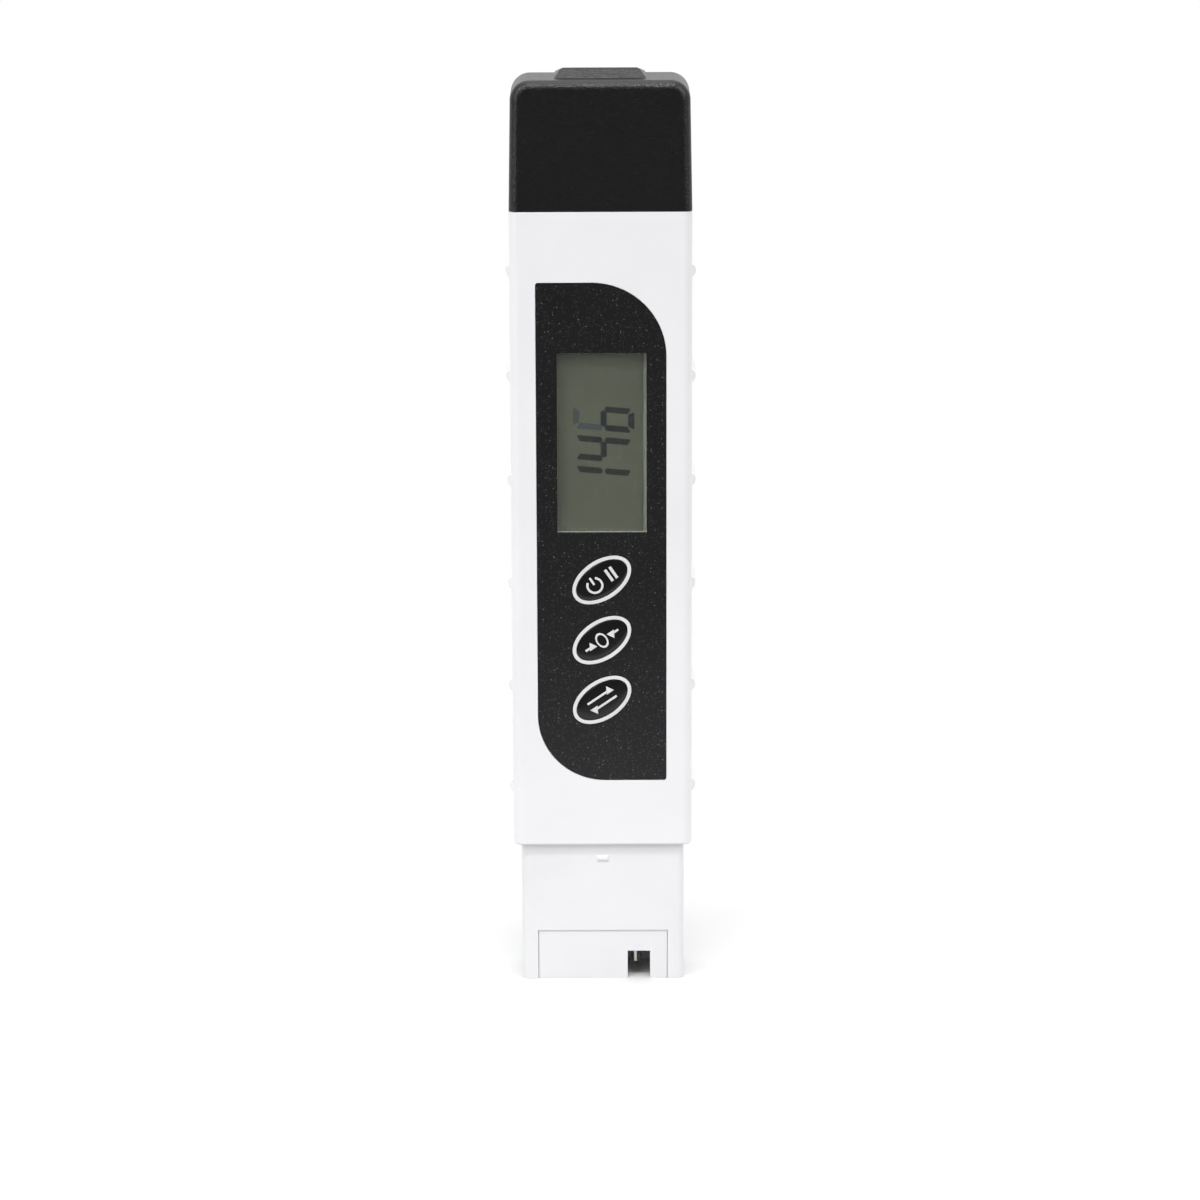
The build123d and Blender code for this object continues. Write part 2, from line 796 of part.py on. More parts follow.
def detents():
    """A small round bump on the front and back of the neck, which holds a protective cap."""
    bump = ridge(detent_length, detent_radius, detent_stand_out)
    bump = Pos(neck_depth / 2, 0, sleeve_bottom - detent_drop) * bump
    return [Rot(0, 0, turn) * bump for turn in (-90, 90)]


def probe_holder():
    """The white neck below the sleeve, with its plug inside the sleeve."""
    holder = column(neck_width, neck_depth, 0, sleeve_bottom, neck_corner_radius)
    plug_width = cavity_width - 2 * plug_clearance
    plug_depth = cavity_depth - 2 * plug_clearance
    holder += trunk(plug_width, plug_depth, sleeve_bottom, plug_top, cavity_corner)
    holder += detents()
    holder -= trunk(neck_bore_width, neck_bore_depth, 0, block_height, cavity_corner)
    bore_width = neck_bore_width - 2 * ledge_width
    bore_depth = neck_bore_depth - 2 * ledge_width
    holder -= trunk(bore_width, bore_depth, block_height, plug_top, cavity_corner)
    opening = panel_width / 2 + block_clearance
    panel_z = (0, panel_height + block_clearance)
    holder -= between((-opening, opening), (-neck_depth / 2, neck_depth / 2), panel_z)
    return holder


def electrode_block():
    """The insert in the neck's mouth: an open water chamber with two notches, and the electrodes' seat."""
    width = neck_bore_width - 2 * block_clearance
    depth = neck_bore_depth - 2 * block_clearance
    top = block_height - block_clearance
    block = trunk(width, depth, 0, top, cavity_corner)
    panel_half_depth = neck_depth / 2 - panel_recess
    panel_half = panel_width / 2
    block += between((-panel_half, panel_half), (-panel_half_depth, panel_half_depth), (0, panel_height))
    chamber_half = width / 2 - chamber_wall
    chamber_half_depth = panel_half_depth - chamber_wall
    chamber_z = (0, chamber_depth)
    block -= between((-chamber_half, chamber_half), (-chamber_half_depth, chamber_half_depth), chamber_z)
    for side in (-1, 1):
        notch_x = (side * notch_offset - notch_width / 2, side * notch_offset + notch_width / 2)
        wall_y = sorted((0, -side * neck_depth / 2))
        block -= between(notch_x, wall_y, (0, notch_height))
        x = side * electrode_spacing / 2
        block -= rod(x, 0, 0, top, electrode_radius + bore_clearance)
    seat_bottom = top - thermistor_bore_depth
    return block - rod(0, 0, seat_bottom, top, thermistor_radius + bore_clearance)


def electrode(side):
    """One metal electrode, with a blunt tip in the chamber and a tail above the potting."""
    top = block_height + potting_thickness + electrode_tail
    return rod(side * electrode_spacing / 2, 0, electrode_recess, top, electrode_radius)


def potting_plug():
    """The resin above the block, which seals the electrodes and the sensor's leads."""
    width = neck_bore_width - 2 * (ledge_width + bore_clearance)
    depth = neck_bore_depth - 2 * (ledge_width + bore_clearance)
    potting = trunk(width, depth, block_height, block_height + potting_thickness, cavity_corner)
    top = block_height + potting_thickness
    for side in (-1, 1):
        potting -= rod(side * electrode_spacing / 2, 0, block_height, top, electrode_radius + bore_clearance)
        potting -= rod(side * lead_spacing / 2, 0, block_height, top, lead_radius + bore_clearance)
    return potting


def wire(x, low, solder_x, radius):
    """A wire from the probe: straight up, a slight slant, then flat along the back of the board."""
    level = board_back + radius + bore_clearance
    route = Polyline(
        (x, 0, low),
        (x, 0, low + wire_straight),
        (solder_x, level, board_bottom - wire_straight),
        (solder_x, level, board_bottom + wire_solder_length),
    )
    section = Plane(origin=route @ 0, z_dir=route % 0) * Circle(radius)
    return sweep(section, path=route, transition=Transition.RIGHT)


def electrode_wires():
    """Two insulated wires from the electrodes' tails to the board."""
    low = block_height + potting_thickness + electrode_tail
    spread = electrode_spacing / 2
    solder_spread = screw_reach - boss_radius - wire_radius - wire_clearance
    return [wire(side * spread, low, side * solder_spread, wire_radius) for side in (-1, 1)]


def thermistor():
    """The temperature sensor's bead in the block, with two thin leads up to the board."""
    bead_bottom = block_height - block_clearance - thermistor_bore_depth + bore_clearance
    bead_top = bead_bottom + thermistor_length
    bead = rod(0, 0, bead_bottom, bead_top, thermistor_radius)
    for side in (-1, 1):
        x = side * lead_spacing / 2
        bead += wire(x, bead_top, x, lead_radius)
    return bead


def save(name, shape):
    """Writes one piece, or one group of like pieces, as a STEP file."""
    solids = Compound(children=list(shape)) if isinstance(shape, list) else shape
    export_step(solids, f"parts/{name}.step")


def main():
    os.makedirs("parts", exist_ok=True)
    left, right = cell_places()
    save("housing", housing())
    save("overlay_label", overlay_label())
    save("window_lens", window_lens())
    for name, height in zip(key_names, key_heights):
        save(f"{name}_key", key(height))
        save(f"{name}_switch_base", switch_base(height))
        save(f"{name}_switch_stem", switch_stem(height))
    save("lcd_front_polarizer", lcd_front_polarizer())
    save("lcd_front_glass", lcd_front_glass())
    save("lcd_rear_glass", lcd_rear_glass())
    save("lcd_reflector", lcd_reflector())
    save("zebra_strip", zebra_strip())
    save("lcd_frame", lcd_frame())
    save("circuit_board", circuit_board())
    save("board_screws", board_screws())
    save("inner_frame", inner_frame())
    save("processor_blob", processor_blob())
    save("amplifier_chip", amplifier_chip())
    save("crystal", crystal())
    save("chip_resistors", chip_resistors())
    save("chip_capacitors", chip_capacitors())
    save("battery_holder", battery_holder())
    save("left_button_cell", button_cell(left, 1))
    save("right_button_cell", button_cell(right, -1))
    save("bridge_contact", bridge_contact())
    save("negative_contact", leg_contact(left))
    save("positive_contact", leg_contact(right))
    save("battery_cover", battery_cover())
    save("pocket_clip", pocket_clip())
    save("probe_holder", probe_holder())
    save("electrode_block", electrode_block())
    save("left_electrode", electrode(-1))
    save("right_electrode", electrode(1))
    save("potting_plug", potting_plug())
    save("electrode_wires", electrode_wires())
    save("thermistor", thermistor())


main()
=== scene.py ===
import json
import math

import bmesh
import bpy
from mathutils import Matrix, Vector


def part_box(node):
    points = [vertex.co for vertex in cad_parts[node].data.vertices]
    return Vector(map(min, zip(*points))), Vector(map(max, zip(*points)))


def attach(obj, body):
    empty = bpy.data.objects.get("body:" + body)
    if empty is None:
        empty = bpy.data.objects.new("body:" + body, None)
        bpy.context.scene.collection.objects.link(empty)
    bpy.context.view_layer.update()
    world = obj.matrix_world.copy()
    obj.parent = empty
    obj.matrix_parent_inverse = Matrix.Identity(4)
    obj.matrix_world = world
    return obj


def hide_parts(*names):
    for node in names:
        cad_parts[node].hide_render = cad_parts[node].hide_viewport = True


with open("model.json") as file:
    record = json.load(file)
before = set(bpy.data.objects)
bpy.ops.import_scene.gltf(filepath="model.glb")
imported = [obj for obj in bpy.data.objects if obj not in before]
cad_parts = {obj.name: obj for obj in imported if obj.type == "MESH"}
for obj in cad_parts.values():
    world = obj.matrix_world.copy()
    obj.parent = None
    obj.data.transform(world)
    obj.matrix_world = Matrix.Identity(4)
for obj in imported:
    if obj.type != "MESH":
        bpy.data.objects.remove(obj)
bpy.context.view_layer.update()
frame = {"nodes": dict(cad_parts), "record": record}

# %% [markdown]
# # A handheld water-quality meter
# The meter is a white moulded sleeve with a black printed label, a small display and three oval keys.
# A black cover with a pocket clip closes the top, and a bare probe neck shows below.
# The CAD frame already holds every solid, so this lesson is about finishes, about the few thin things
# that are printed or shown on the solids, and about plain studio light.

# %% Millimetres, in the metres of the scene
mm = 0.001

# %% [markdown]
# ## Small helpers for shader nodes
# A material is a graph of nodes. Two helpers keep the graphs short to read: one adds a node with its
# settings and its input values, and one joins an output to an input. They could be avoided by writing
# every node out, but then the same four lines would be read fifty times.

# %% Helpers that add and join nodes
def add(tree, kind, settings=None, values=None):
    node = tree.nodes.new(kind)
    for name, value in (settings or {}).items():
        setattr(node, name, value)
    for name, value in (values or {}).items():
        node.inputs[name].default_value = value
    return node


def join(tree, source, output, target, socket):
    tree.links.new(source.outputs[output], target.inputs[socket])


def grey(level):
    return (level, level, level, 1)


# %% Helper that starts a shared node group
def start_group(name, inputs, outputs):
    group = bpy.data.node_groups.new(name, "ShaderNodeTree")
    for socket_name, kind, value in inputs:
        socket = group.interface.new_socket(socket_name, in_out="INPUT", socket_type=kind)
        socket.default_value = value
    for socket_name, kind in outputs:
        group.interface.new_socket(socket_name, in_out="OUTPUT", socket_type=kind)
    return group, group.nodes.new("NodeGroupInput"), group.nodes.new("NodeGroupOutput")


def maths(tree, operation, first, second):
    """A math node whose two values are numbers, or a node and the name of its output."""
    node = add(tree, "ShaderNodeMath", {"operation": operation})
    for place, value in enumerate((first, second)):
        if isinstance(value, tuple):
            join(tree, value[0], value[1], node, place)
        else:
            node.inputs[place].default_value = value
    return node


# %% [markdown]
# ## Effects that many finishes share
# Moulded plastic is never perfectly even. It has a fine grain from the steel of the mould, a colour that
# drifts a little, corners that are slightly round, and some dust. Each effect could be built again in
# each material, but a node group is built once and placed with other values, as a stamp is.
# Object coordinates are in metres, so a size in millimetres turns into a scale of 1000 over that size.

# %% Grain: a fine unevenness from the mould
def make_grain():
    inputs = [("Size in mm", "NodeSocketFloat", 0.2)]
    group, start, end = start_group("mould_grain", inputs, [("Height", "NodeSocketFloat")])
    place = add(group, "ShaderNodeTexCoord")
    scale = maths(group, "DIVIDE", 1 / mm, (start, "Size in mm"))
    fine = add(group, "ShaderNodeTexNoise", values={"Detail": 2.0, "Roughness": 0.6})
    join(group, place, "Object", fine, "Vector")
    join(group, scale, "Value", fine, "Scale")
    pits = add(group, "ShaderNodeTexVoronoi", {"feature": "SMOOTH_F1"}, {"Smoothness": 0.6})
    join(group, place, "Object", pits, "Vector")
    join(group, scale, "Value", pits, "Scale")
    both = maths(group, "MULTIPLY", (fine, "Fac"), (pits, "Distance"))
    join(group, both, "Value", end, "Height")
    return group


grain_group = make_grain()
print("group", grain_group.name)

# %% Drift: a colour that wanders slowly between two tones
def make_drift():
    inputs = [
        ("Light", "NodeSocketColor", grey(0.8)),
        ("Dark", "NodeSocketColor", grey(0.7)),
        ("Size in mm", "NodeSocketFloat", 12.0),
    ]
    group, start, end = start_group("slow_drift", inputs, [("Color", "NodeSocketColor")])
    place = add(group, "ShaderNodeTexCoord")
    scale = maths(group, "DIVIDE", 1 / mm, (start, "Size in mm"))
    clouds = add(group, "ShaderNodeTexNoise", values={"Detail": 5.0, "Roughness": 0.55})
    join(group, place, "Object", clouds, "Vector")
    join(group, scale, "Value", clouds, "Scale")
    spread = add(group, "ShaderNodeMapRange", values={"From Min": 0.3, "From Max": 0.7})
    join(group, clouds, "Fac", spread, "Value")
    blend = add(group, "ShaderNodeMix", {"data_type": "RGBA"})
    join(group, spread, "Result", blend, "Factor")
    group.links.new(start.outputs["Light"], blend.inputs[6])
    group.links.new(start.outputs["Dark"], blend.inputs[7])
    group.links.new(blend.outputs[2], end.inputs["Color"])
    return group


drift_group = make_drift()
print("group", drift_group.name)

# %% Soft corners: a rounded normal on sharp corners, and a mask of where they are
def make_corners():
    inputs = [("Radius", "NodeSocketFloat", 0.1 * mm)]
    outputs = [("Normal", "NodeSocketVector"), ("Corner", "NodeSocketFloat")]
    group, start, end = start_group("soft_corners", inputs, outputs)
    rounded = add(group, "ShaderNodeBevel", {"samples": 6})
    join(group, start, "Radius", rounded, "Radius")
    surface = add(group, "ShaderNodeNewGeometry")
    turn = add(group, "ShaderNodeVectorMath", {"operation": "DOT_PRODUCT"})
    join(group, rounded, "Normal", turn, 0)
    join(group, surface, "Normal", turn, 1)
    mask = add(group, "ShaderNodeMapRange", values={"From Min": 0.995, "From Max": 0.8})
    join(group, turn, "Value", mask, "Value")
    join(group, rounded, "Normal", end, "Normal")
    join(group, mask, "Result", end, "Corner")
    return group


corners_group = make_corners()
print("group", corners_group.name)

# %% Dust: a thin scatter of specks that settles more on what faces up
def make_dust():
    inputs = [("Amount", "NodeSocketFloat", 0.1)]
    group, start, end = start_group("settled_dust", inputs, [("Mask", "NodeSocketFloat")])
    place = add(group, "ShaderNodeTexCoord")
    specks = add(group, "ShaderNodeTexVoronoi", values={"Scale": 1 / (0.7 * mm)})
    join(group, place, "Object", specks, "Vector")
    close = maths(group, "LESS_THAN", (specks, "Distance"), 0.07)
    patches = add(group, "ShaderNodeTexNoise", values={"Scale": 1 / (9 * mm), "Detail": 3.0})
    join(group, place, "Object", patches, "Vector")
    some = add(group, "ShaderNodeMapRange", values={"From Min": 0.5, "From Max": 0.7})
    join(group, patches, "Fac", some, "Value")
    surface = add(group, "ShaderNodeNewGeometry")
    split = add(group, "ShaderNodeSeparateXYZ")
    join(group, surface, "Normal", split, "Vector")
    upward = add(group, "ShaderNodeMapRange", values={"From Max": 1.0, "To Min": 0.25, "To Max": 1.0})
    join(group, split, "Z", upward, "Value")
    scattered = maths(group, "MULTIPLY", (close, "Value"), (some, "Result"))
    lying = maths(group, "MULTIPLY", (scattered, "Value"), (upward, "Result"))
    wanted = maths(group, "MULTIPLY", (lying, "Value"), (start, "Amount"))
    join(group, wanted, "Value", end, "Mask")
    return group


dust_group = make_dust()
print("group", dust_group.name)

# %% Painted glints: tiny bright points in the colour that stand for sparkle where a grainy surface catches light
def make_glint_flecks():
    inputs = [
        ("Spacing in mm", "NodeSocketFloat", 0.5),
        ("Share", "NodeSocketFloat", 0.3),
        ("Fleck size", "NodeSocketFloat", 0.2),
    ]
    group, start, end = start_group("painted_glint_flecks", inputs, [("Mask", "NodeSocketFloat")])
    place = add(group, "ShaderNodeTexCoord")
    scale = maths(group, "DIVIDE", 1 / mm, (start, "Spacing in mm"))
    cells = add(group, "ShaderNodeTexVoronoi")
    join(group, place, "Object", cells, "Vector")
    join(group, scale, "Value", cells, "Scale")
    close = maths(group, "LESS_THAN", (cells, "Distance"), (start, "Fleck size"))
    chance = add(group, "ShaderNodeSeparateColor")
    join(group, cells, "Color", chance, "Color")
    chosen = maths(group, "LESS_THAN", (chance, "Red"), (start, "Share"))
    shining = maths(group, "MULTIPLY", (close, "Value"), (chosen, "Value"))
    uneven = maths(group, "MULTIPLY", (shining, "Value"), (chance, "Green"))
    # The mask marks painted glints: points where a material's colour is lifted to stand for sparkle under
    # light.
    join(group, uneven, "Value", end, "Mask")
    return group


glint_flecks_group = make_glint_flecks()
print("group", glint_flecks_group.name)


def stamp(tree, group, values):
    """One use of a shared group in a material, with its own values."""
    node = add(tree, "ShaderNodeGroup", {"node_tree": group})
    for name, value in values.items():
        node.inputs[name].default_value = value
    return node


def tint(tree, mask, output, under, under_output, colour):
    """The colour under a mask, painted over with another colour where the mask is 1."""
    blend = add(tree, "ShaderNodeMix", {"data_type": "RGBA"})
    join(tree, mask, output, blend, "Factor")
    tree.links.new(under.outputs[under_output], blend.inputs[6])
    blend.inputs[7].default_value = colour
    return blend


def new_material(name):
    """A material with a shader and an output, ready for its graph."""
    material = bpy.data.materials.new(name)
    material.use_nodes = True
    tree = material.node_tree
    tree.nodes.clear()
    surface = add(tree, "ShaderNodeBsdfPrincipled")
    end = add(tree, "ShaderNodeOutputMaterial")
    join(tree, surface, "BSDF", end, "Surface")
    return material, tree, surface


# %% [markdown]
# ## Moulded plastics
# The sleeve, the cover, the keys and the inner carriers are all injection moulded. What sets them apart
# is tone, gloss and the grain of the mould, so one function makes them all from those few values.
# The grain goes through a Bump node: real geometry that fine would need millions of faces.
# The gloss is uneven too, because the grain and the corners catch light in other ways than the flats.

# %% One function for every moulded finish
def moulded(name, light, dark, roughness, grain_mm, depth_mm, specular=0.5, corner_mm=0.12, dust=0.12):
    material, tree, surface = new_material(name)
    surface.inputs["Specular IOR Level"].default_value = specular
    colour = stamp(tree, drift_group, {"Light": light, "Dark": dark, "Size in mm": 14.0})
    corners = stamp(tree, corners_group, {"Radius": corner_mm * mm})
    rubbed = [min(1.0, channel * 1.15 + 0.01) for channel in light[:3]]
    polish = maths(tree, "MULTIPLY", (corners, "Corner"), 0.5)
    worn = tint(tree, polish, "Value", colour, "Color", (*rubbed, 1))
    specks = stamp(tree, dust_group, {"Amount": dust})
    dusty = add(tree, "ShaderNodeMix", {"data_type": "RGBA"})
    join(tree, specks, "Mask", dusty, "Factor")
    tree.links.new(worn.outputs[2], dusty.inputs[6])
    dusty.inputs[7].default_value = grey(0.45)
    tree.links.new(dusty.outputs[2], surface.inputs["Base Color"])
    grain = stamp(tree, grain_group, {"Size in mm": grain_mm})
    gloss = add(tree, "ShaderNodeMapRange", values={"To Min": roughness - 0.06, "To Max": roughness + 0.1})
    join(tree, grain, "Height", gloss, "Value")
    join(tree, gloss, "Result", surface, "Roughness")
    bump = add(tree, "ShaderNodeBump", values={"Strength": 1.0, "Distance": depth_mm * mm})
    join(tree, grain, "Height", bump, "Height")
    join(tree, corners, "Normal", bump, "Normal")
    join(tree, bump, "Normal", surface, "Normal")
    return material


# %% The plastics of this meter
white_abs = moulded("white_satin_plastic", (0.86, 0.86, 0.88, 1), (0.83, 0.83, 0.845, 1), 0.36, 0.35, 0.004)
probe_abs = moulded("white_probe_plastic", (0.84, 0.84, 0.86, 1), (0.8, 0.8, 0.82, 1), 0.42, 0.3, 0.004)
frame_abs = moulded("white_inner_plastic", (0.74, 0.74, 0.73, 1), (0.69, 0.69, 0.67, 1), 0.5, 0.25, 0.006)
stem_nylon = moulded("white_stem_nylon", (0.72, 0.72, 0.68, 1), (0.66, 0.66, 0.61, 1), 0.45, 0.2, 0.005)
black_abs = moulded(
    "black_cover_plastic",
    (0.0045, 0.0045, 0.005, 1),
    (0.003, 0.003, 0.0035, 1),
    roughness=0.34,
    grain_mm=0.3,
    depth_mm=0.1,
    specular=0.5,
    corner_mm=0.1,
    dust=0.05,
)
key_abs = moulded(
    "black_key_plastic",
    (0.007, 0.007, 0.0075, 1),
    (0.005, 0.005, 0.0055, 1),
    roughness=0.22,
    grain_mm=0.3,
    depth_mm=0.004,
    specular=0.4,
    corner_mm=0.08,
    dust=0.05,
)
switch_nylon = moulded("black_switch_nylon", (0.03, 0.03, 0.03, 1), (0.02, 0.02, 0.02, 1), 0.5, 0.2, 0.008)
print("moulded finishes:", 7)

# %% [markdown]
# ## The label film
# The label is a clear film printed black on its back, and it sparkles a little under light.
# Flecks could be thousands of tiny faces, but from any distance they are only points of light, so a
# mask of points paints the sparkle: it lifts the colour there to a light grey as painted glints, and
# lowers the roughness there.

# %% Black film with a painted sparkle
def make_label_film():
    material, tree, surface = new_material("black_label_film")
    surface.inputs["Specular IOR Level"].default_value = 0.35
    ink_tones = {"Light": (0.009, 0.009, 0.0095, 1), "Dark": (0.007, 0.007, 0.0075, 1)}
    ink = stamp(tree, drift_group, ink_tones)
    fine = stamp(tree, glint_flecks_group, {"Spacing in mm": 0.3, "Share": 0.5, "Fleck size": 0.36})
    large = stamp(tree, glint_flecks_group, {"Spacing in mm": 0.62, "Share": 0.34, "Fleck size": 0.15})
    # Light grey points in the colour are painted glints, the film's sparkle under light; the roughness is
    # lowered at the same points.
    soft = maths(tree, "MULTIPLY", (fine, "Mask"), 0.05)
    bright = maths(tree, "MULTIPLY", (large, "Mask"), 0.3)
    both = maths(tree, "MAXIMUM", (soft, "Value"), (bright, "Value"))
    glint_painted_film = tint(tree, both, "Value", ink, "Color", grey(0.6))
    tree.links.new(glint_painted_film.outputs[2], surface.inputs["Base Color"])
    gloss = maths(tree, "SUBTRACT", 0.34, (both, "Value"))
    join(tree, gloss, "Value", surface, "Roughness")
    grain = stamp(tree, grain_group, {"Size in mm": 0.25})
    corners = stamp(tree, corners_group, {"Radius": 0.06 * mm})
    bump = add(tree, "ShaderNodeBump", values={"Strength": 1.0, "Distance": 0.006 * mm})
    join(tree, grain, "Height", bump, "Height")
    join(tree, corners, "Normal", bump, "Normal")
    join(tree, bump, "Normal", surface, "Normal")
    return material


label_film = make_label_film()
print("finish", label_film.name)

# %% White ink for the rings and signs
white_ink = moulded("white_ink", (0.8, 0.8, 0.8, 1), (0.7, 0.7, 0.7, 1), 0.5, 0.12, 0.003)
print("finish", white_ink.name)

# %% [markdown]
# ## The display
# A small liquid-crystal display is a sandwich: a film, two sheets of glass, and a film with a silvery
# back. What the eye sees is a flat grey-green field under a clear window. The window is real acrylic,
# so it gets transmission, and a Light Path switch lets lamps shine through it, because refracted light
# alone would leave the display in the dark.

# %% Clear window with a few fine scratches
def make_window():
    material, tree, surface = new_material("clear_acrylic")
    surface.inputs["Base Color"].default_value = (0.97, 0.98, 0.97, 1)
    surface.inputs["IOR"].default_value = 1.49
    surface.inputs["Transmission Weight"].default_value = 1.0
    place = add(tree, "ShaderNodeTexCoord")
    slanted = {"Scale": (1.0, 1.0, 0.06), "Rotation": (0, 0.5, 0)}
    stretch = add(tree, "ShaderNodeMapping", values=slanted)
    join(tree, place, "Object", stretch, "Vector")
    lines = add(tree, "ShaderNodeTexNoise", values={"Scale": 1 / (0.5 * mm), "Detail": 1.0})
    join(tree, stretch, "Vector", lines, "Vector")
    rare_lines = {"From Min": 0.68, "From Max": 0.78, "To Min": 0.02, "To Max": 0.2}
    fine = add(tree, "ShaderNodeMapRange", values=rare_lines)
    join(tree, lines, "Fac", fine, "Value")
    join(tree, fine, "Result", surface, "Roughness")
    path = add(tree, "ShaderNodeLightPath")
    open_way = add(tree, "ShaderNodeBsdfTransparent", values={"Color": (0.9, 0.92, 0.9, 1)})
    switch = add(tree, "ShaderNodeMixShader")
    join(tree, path, "Is Shadow Ray", switch, 0)
    join(tree, surface, "BSDF", switch, 1)
    join(tree, open_way, "BSDF", switch, 2)
    join(tree, switch, "Shader", tree.nodes["Material Output"], "Surface")
    return material


clear_window = make_window()
print("finish", clear_window.name)

# %% Grey-green field of the display, with faint painted glints
def make_display_field(name, light, dark, roughness):
    material, tree, surface = new_material(name)
    field = stamp(tree, drift_group, {"Light": light, "Dark": dark, "Size in mm": 22.0})
    # Faint light points in the colour are painted glints, the film's glitter under light.
    grain = stamp(tree, glint_flecks_group, {"Spacing in mm": 0.3, "Share": 0.25, "Fleck size": 0.3})
    faint = maths(tree, "MULTIPLY", (grain, "Mask"), 0.05)
    glint_speckled_field = tint(tree, faint, "Value", field, "Color", grey(0.5))
    tree.links.new(glint_speckled_field.outputs[2], surface.inputs["Base Color"])
    surface.inputs["Roughness"].default_value = roughness
    cloth = stamp(tree, grain_group, {"Size in mm": 0.15})
    bump = add(tree, "ShaderNodeBump", values={"Strength": 1.0, "Distance": 0.002 * mm})
    join(tree, cloth, "Height", bump, "Height")
    join(tree, bump, "Normal", surface, "Normal")
    return material


film_tones = (0.086, 0.092, 0.066, 1), (0.064, 0.068, 0.05, 1)
glass_tones = (0.3, 0.32, 0.27, 1), (0.2, 0.22, 0.18, 1)
silver_tones = (0.42, 0.43, 0.38, 1), (0.36, 0.37, 0.32, 1)
dark_tones = (0.009, 0.011, 0.011, 1), (0.007, 0.009, 0.009, 1)
faint_tones = (0.044, 0.05, 0.054, 1), (0.04, 0.046, 0.05, 1)
display_film = make_display_field("display_front_film", *film_tones, 0.45)
display_glass = make_display_field("display_glass_edge", *glass_tones, 0.15)
silver_film = make_display_field("silver_rear_film", *silver_tones, 0.3)
dark_segment = make_display_field("dark_segment", *dark_tones, 0.45)
faint_segment = make_display_field("faint_segment", *faint_tones, 0.45)
print("display finishes:", 5)

# %% [markdown]
# ## Metals
# Screws, contacts, the crystal's can, the cells and the electrodes are all metal, each with its own
# tone. Rolled sheet shows fine lines along one way, so a noise that is stretched along the meter sets
# the roughness. A plain even roughness would look like grey paint.

# %% One function for every metal
def metal(name, light, dark, roughness):
    material, tree, surface = new_material(name)
    surface.inputs["Metallic"].default_value = 1.0
    colour = stamp(tree, drift_group, {"Light": light, "Dark": dark, "Size in mm": 3.0})
    tree.links.new(colour.outputs["Color"], surface.inputs["Base Color"])
    place = add(tree, "ShaderNodeTexCoord")
    stretch = add(tree, "ShaderNodeMapping", values={"Scale": (1.0, 1.0, 0.05)})
    join(tree, place, "Object", stretch, "Vector")
    lines = add(tree, "ShaderNodeTexNoise", values={"Scale": 1 / (0.06 * mm), "Detail": 2.0})
    join(tree, stretch, "Vector", lines, "Vector")
    gloss = add(tree, "ShaderNodeMapRange", values={"To Min": roughness - 0.08, "To Max": roughness + 0.15})
    join(tree, lines, "Fac", gloss, "Value")
    join(tree, gloss, "Result", surface, "Roughness")
    corners = stamp(tree, corners_group, {"Radius": 0.06 * mm})
    bump = add(tree, "ShaderNodeBump", values={"Strength": 1.0, "Distance": 0.001 * mm})
    join(tree, lines, "Fac", bump, "Height")
    join(tree, corners, "Normal", bump, "Normal")
    join(tree, bump, "Normal", surface, "Normal")
    return material


steel = metal("zinc_plated_steel", (0.62, 0.62, 0.6, 1), (0.52, 0.52, 0.51, 1), 0.3)
nickel = metal("nickel_strip", (0.68, 0.65, 0.58, 1), (0.58, 0.55, 0.49, 1), 0.26)
can_tin = metal("tinned_can", (0.66, 0.66, 0.65, 1), (0.56, 0.56, 0.55, 1), 0.28)
cell_steel = metal("cell_steel", (0.7, 0.69, 0.66, 1), (0.6, 0.59, 0.57, 1), 0.22)
probe_metal = metal("electrode_metal", (0.6, 0.58, 0.55, 1), (0.5, 0.48, 0.45, 1), 0.2)
print("metal finishes:", 5)

# %% [markdown]
# ## The circuit's own materials
# The board's green lacquer lies over copper tracks, which show through as lighter lines. A brick
# pattern gives straight runs with gaps, which is near enough to tracks on a board that is hardly seen.
# Resin, rubber, ceramic and wire covering are moulded or cast, so the moulded finish serves again.

# %% Green board with tracks under the lacquer
def make_board():
    material, tree, surface = new_material("green_board")
    lacquer = stamp(tree, drift_group, {"Light": (0.02, 0.15, 0.05, 1), "Dark": (0.015, 0.12, 0.04, 1)})
    place = add(tree, "ShaderNodeTexCoord")
    turn = add(tree, "ShaderNodeMapping", values={"Rotation": (math.radians(90), 0, 0)})
    join(tree, place, "Object", turn, "Vector")
    tracks = add(tree, "ShaderNodeTexBrick", {"offset": 0.35}, {"Scale": 1 / (4 * mm), "Mortar Size": 0.06})
    join(tree, turn, "Vector", tracks, "Vector")
    shown = maths(tree, "MULTIPLY", (tracks, "Fac"), 0.6)
    lighter = tint(tree, shown, "Value", lacquer, "Color", (0.05, 0.28, 0.1, 1))
    tree.links.new(lighter.outputs[2], surface.inputs["Base Color"])
    surface.inputs["Roughness"].default_value = 0.3
    bump = add(tree, "ShaderNodeBump", values={"Strength": 1.0, "Distance": 0.02 * mm})
    join(tree, tracks, "Fac", bump, "Height")
    join(tree, bump, "Normal", surface, "Normal")
    return material


